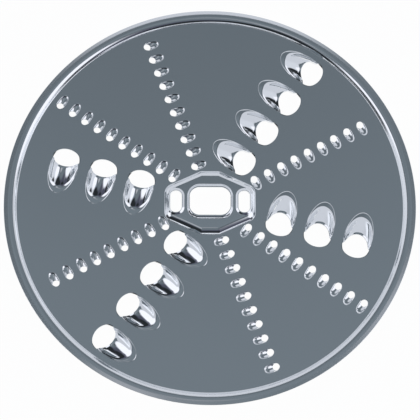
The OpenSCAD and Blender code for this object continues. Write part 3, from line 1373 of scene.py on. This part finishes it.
def tent_panels() -> tuple[SoftPanel, ...]:
    """The tent's light, from the broad walls to the small panels."""
    pale, cool, deep, white = Tint.PALE, Tint.COOL, Tint.DEEP, Tint.WHITE
    rows = (
        (0, 90, 180, 0, 0.72, pale),
        (0, 180, 102, 10, 1.15, pale),
        (110, 82, 58, 24, 0.76, pale),
        (180, 58, 30, 22, 0.84, pale),
        (214, 34, 18, 14, 0.36, cool),
        (270, 48, 29, 16, 0.12, deep),
        (242, 58, 22, 6, 0.03, cool),
        (202, 80, 15, 5, 0.03, cool),
        (324, 77, 13, 6, 0.03, cool),
        (224, 72, 14, 6, 0.03, cool),
        (310, 68, 14, 10, 0.12, deep),
        (282, 66, 16, 6, 0.03, cool),
        (105, 4, 34, 5, 0.12, cool),
        (44, 23, 26, 4, 0.2, cool),
        (128, 20, 26, 4, 0.17, cool),
        (265, 24, 15, 14, 0.22, cool),
        (90, 8, 24, 8, 0.25, cool),
        (90, 29, 9, 16, 0.185, cool),
        (345, 50, 24, 8, 1.2, white),
        (192, 46, 15, 6, 1.2, white),
        (228, 20, 6, 8, 0.5, pale),
        (262, 7, 4, 5, 0.38, pale),
    )
    return tuple(SoftPanel(*row) for row in rows)


@dataclass(frozen=True)
class StudioTent:
    """A pale tent round the disc, lit unevenly, with a white ground that keeps the shadow.

    Attributes:
        panels: Panels, each painted over the ones before; the first is the tent itself.
        ground_z: Height of the floor, just under the fine teeth, in millimetres.
        ground_half: Half the floor's width, in millimetres.
        card: Colour of the floor card.
        glow: Strength of the floor's own white.
        glow_share: Share of that white in what the camera and mirrors see of the floor.
    """

    panels: tuple[SoftPanel, ...]
    ground_z: float = -1.5
    ground_half: float = 3000.0
    card: str = "#F2F2F2"
    glow: float = 1.03
    glow_share: float = 0.93

    def light(self) -> None:
        """Makes the world: the tent for every ray but the camera's, and plain white for that."""
        world = bpy.data.worlds.new("studio_tent")
        bpy.context.scene.world = world
        tree = empty_tree(world)
        ray = add_node(tree, "ShaderNodeTexCoord").outputs["Generated"]
        wall, *painted = self.panels
        below = None
        for panel in painted:
            facing = add_node(tree, "ShaderNodeVectorMath",
                              {"operation": "DOT_PRODUCT", 1: panel.direction()}, {0: ray})
            mask = add_node(tree, "ShaderNodeMapRange",
                            {"interpolation_type": "SMOOTHSTEP", **panel.borders()},
                            {"Value": facing.outputs["Value"]})
            colours = {COLOUR_A: wall.colour(), COLOUR_B: panel.colour()}
            over = {FACTOR: mask.outputs["Result"], **({COLOUR_A: below} if below else {})}
            mixed = add_node(tree, "ShaderNodeMix", {"data_type": "RGBA", **colours}, over)
            below = mixed.outputs[COLOUR_OUT]
        tent = add_node(tree, "ShaderNodeBackground", {"Strength": 1.0}, {"Color": below})
        plain = add_node(tree, "ShaderNodeBackground", {"Color": WHITE_LIGHT, "Strength": 1.0})
        seen = add_node(tree, "ShaderNodeLightPath").outputs["Is Camera Ray"]
        both = add_node(tree, "ShaderNodeMixShader", {},
                        {0: seen, 1: tent.outputs[0], 2: plain.outputs[0]})
        add_node(tree, "ShaderNodeOutputWorld", {}, {"Surface": both.outputs[0]})

    def floor_card(self) -> bpy.types.Material:
        """Builds the floor's material: matt card, with its own white where it is looked at."""
        material = bpy.data.materials.new("white_floor_card")
        tree = empty_tree(material)
        path = add_node(tree, "ShaderNodeLightPath").outputs
        looked_at = path["Is Camera Ray"]
        for ray in ("Is Glossy Ray", "Is Transmission Ray"):
            either = add_node(tree, "ShaderNodeMath", {"operation": "MAXIMUM"},
                              {0: looked_at, 1: path[ray]})
            looked_at = either.outputs[0]
        share = add_node(tree, "ShaderNodeMath", {"operation": "MULTIPLY", 1: self.glow_share},
                         {0: looked_at})
        card = add_node(tree, "ShaderNodeBsdfDiffuse", {"Color": hex_colour(self.card)})
        glow = add_node(tree, "ShaderNodeEmission",
                        {"Color": WHITE_LIGHT, "Strength": self.glow})
        both = add_node(tree, "ShaderNodeMixShader", {},
                        {0: share.outputs[0], 1: card.outputs[0], 2: glow.outputs[0]})
        add_node(tree, "ShaderNodeOutputMaterial", {}, {"Surface": both.outputs[0]})
        return material

    def floor(self) -> bpy.types.Object:
        """Makes the floor: pale matt card with its own white, which still takes the shadow.

        Returns:
            The floor.
        """
        half, z = self.ground_half * MM, self.ground_z * MM
        mesh = bpy.data.meshes.new("studio_floor")
        corners = [(x * half, y * half, z) for x, y in ((-1, -1), (1, -1), (1, 1), (-1, 1))]
        mesh.from_pydata(corners, [], [(0, 1, 2, 3)])
        floor = add_object("studio_floor", mesh)
        mesh.materials.append(self.floor_card())
        return floor


@dataclass(frozen=True)
class PhotoCamera:
    """The camera where the photograph was taken from.

    Attributes:
        place: Its place, in millimetres.
        pitch: Turn about x that lays the disc back under the camera, in degrees.
        roll: Turn about y, in degrees.
        lens: Focal length for a 36 mm wide frame, in millimetres.
    """

    place: tuple[float, float, float] = (-7.85, -171.34, 552.50)
    pitch: float = -17.016
    roll: float = 0.812
    lens: float = 166.12

    def make(self) -> bpy.types.Object:
        """Makes the camera and gives it to the scene.

        Returns:
            The camera.
        """
        data = bpy.data.cameras.new("photo_camera")
        data.sensor_width, data.lens = 36.0, self.lens
        data.clip_start, data.clip_end = 0.01, 20.0
        camera = add_object("photo_camera", data)
        pitch = Matrix.Rotation(math.radians(self.pitch), 3, "X")
        roll = Matrix.Rotation(math.radians(self.roll), 3, "Y")
        facing = (pitch @ roll).transposed().to_quaternion()
        camera.matrix_world = Matrix.LocRotScale(Vector(self.place) * MM, facing, None)
        bpy.context.scene.camera = camera
        return camera


def main() -> None:
    """Loads the frame, builds the disc over it, and sets up the studio."""
    logging.basicConfig(level=logging.INFO, format="%(name)s: %(message)s")
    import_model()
    PhotoCamera().make()
    disc = ShreddingDisc(coarse_teeth(), fine_teeth(), DriveBoss(), SteppedRim(), RolledStainless())
    piece = disc.make()
    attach(piece, BODY)
    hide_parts(NODE)
    triangles = sum(len(face.vertices) - 2 for face in piece.data.polygons)
    LOG.info("%s: %d points, %d triangles", piece.name, len(piece.data.vertices), triangles)
    tent = StudioTent(tent_panels())
    tent.light()
    LOG.info("%s laid", tent.floor().name)
    bpy.context.scene.view_settings.view_transform = "Standard"


if __name__ == "__main__":
    main()
